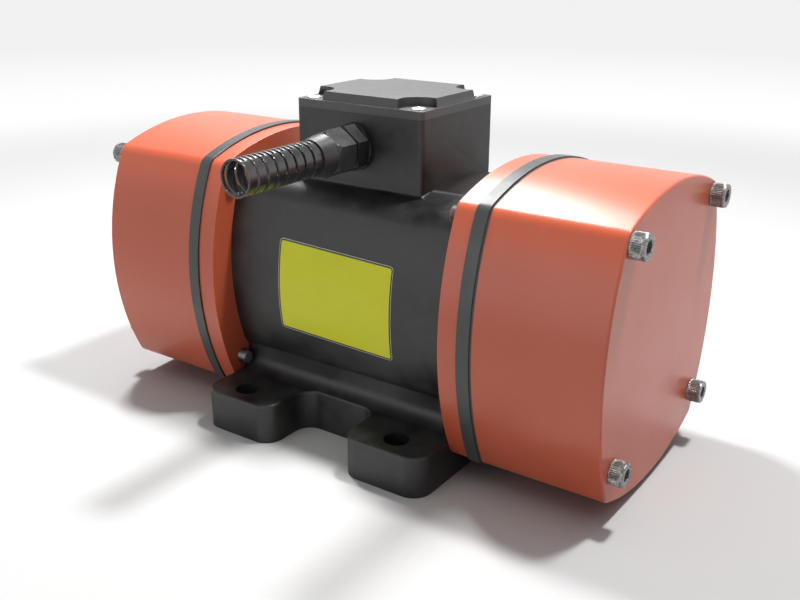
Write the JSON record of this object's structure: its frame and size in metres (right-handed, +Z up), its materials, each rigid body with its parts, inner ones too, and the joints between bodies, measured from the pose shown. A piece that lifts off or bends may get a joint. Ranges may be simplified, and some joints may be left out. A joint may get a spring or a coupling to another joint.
{
  "type": "vibration motor",
  "caption": "Foot-mounted electric vibration motor with unbalance weights under two bolted end covers and a top terminal box.",
  "frame": {"origin": "centre of the four foot holes on the mounting face", "axes": "+X along the motor axis, -Y towards the cable gland, +Z up"},
  "size_m": [0.3228, 0.2072, 0.1817],
  "materials": {
    "body_paint": "dark grey satin paint on cast metal",
    "cover_paint": "orange satin paint on cast metal",
    "zinc_steel": "zinc plated steel",
    "bearing_steel": "ground bearing steel",
    "gland_plastic": "moulded black plastic",
    "gasket_rubber": "grey rubber",
    "seal_rubber": "black rubber",
    "core_steel": "stacked sheet steel",
    "weight_iron": "machined cast iron",
    "shaft_steel": "turned steel",
    "cage_metal": "cast aluminium",
    "copper_coil": "varnished copper wire",
    "terminal_brass": "bright brass",
    "block_plastic": "moulded brown plastic"
  },
  "bodies": {
    "housing": {"motor_housing": "body_paint", "stator_core": "core_steel", "stator_windings": "copper_coil", "terminal_lid": "body_paint", "lid_gasket": "seal_rubber", "lid_screws": "zinc_steel", "terminal_block": "block_plastic", "terminal_studs": "terminal_brass", "terminal_links": "terminal_brass", "terminal_nuts": "terminal_brass", "earth_screw": "terminal_brass", "gland_washer": "seal_rubber", "gland_body": "gland_plastic", "gland_seal": "seal_rubber", "gland_nut": "gland_plastic", "gland_locknut": "gland_plastic", "right_end_shield": "cover_paint", "right_shield_screws": "zinc_steel", "right_bearing_outer_ring": "bearing_steel", "right_bearing_cap": "weight_iron", "right_cap_screws": "zinc_steel", "right_cover_gasket": "gasket_rubber", "right_weight_cover": "cover_paint", "right_cover_screws": "zinc_steel", "left_end_shield": "cover_paint", "left_shield_screws": "zinc_steel", "left_bearing_outer_ring": "bearing_steel", "left_bearing_cap": "weight_iron", "left_cap_screws": "zinc_steel", "left_cover_gasket": "gasket_rubber", "left_weight_cover": "cover_paint", "left_cover_screws": "zinc_steel"},
    "rotor": {"shaft": "shaft_steel", "rotor_core": "core_steel", "rotor_cage": "cage_metal", "right_bearing_inner_ring": "bearing_steel", "right_spacer_sleeve": "shaft_steel", "right_shaft_key": "shaft_steel", "right_fixed_weight": "weight_iron", "right_fixed_clamp_bolt": "zinc_steel", "right_setting_disc": "cage_metal", "right_retaining_ring": "shaft_steel", "left_bearing_inner_ring": "bearing_steel", "left_spacer_sleeve": "shaft_steel", "left_shaft_key": "shaft_steel", "left_fixed_weight": "weight_iron", "left_fixed_clamp_bolt": "zinc_steel", "left_setting_disc": "cage_metal", "left_retaining_ring": "shaft_steel"},
    "right_adjustable": {"right_adjustable_weight": "weight_iron", "right_adjustable_clamp_bolt": "zinc_steel"},
    "right_balls": {"right_bearing_balls": "bearing_steel", "right_ball_cage": "terminal_brass"},
    "left_adjustable": {"left_adjustable_weight": "weight_iron", "left_adjustable_clamp_bolt": "zinc_steel"},
    "left_balls": {"left_bearing_balls": "bearing_steel", "left_ball_cage": "terminal_brass"}
  },
  "joints": [
    {"name": "rotor_spin", "type": "hinge", "parent": "housing", "child": "rotor", "pos_m": [0, 0, 0.083], "axis": [1, 0, 0], "continuous": true},
    {"name": "right_weight_setting", "type": "hinge", "parent": "rotor", "child": "right_adjustable", "pos_m": [0, 0, 0.083], "axis": [1, 0, 0], "range_deg": [0, 180]},
    {"name": "right_balls_roll", "type": "hinge", "parent": "housing", "child": "right_balls", "pos_m": [0, 0, 0.083], "axis": [1, 0, 0], "continuous": true},
    {"name": "left_weight_setting", "type": "hinge", "parent": "rotor", "child": "left_adjustable", "pos_m": [0, 0, 0.083], "axis": [1, 0, 0], "range_deg": [0, 180]},
    {"name": "left_balls_roll", "type": "hinge", "parent": "housing", "child": "left_balls", "pos_m": [0, 0, 0.083], "axis": [1, 0, 0], "continuous": true}
  ],
  "couplings": [
    {"joint": "right_balls_roll", "follows": "rotor_spin", "ratio": 0.3987},
    {"joint": "left_balls_roll", "follows": "rotor_spin", "ratio": 0.3987}
  ]
}
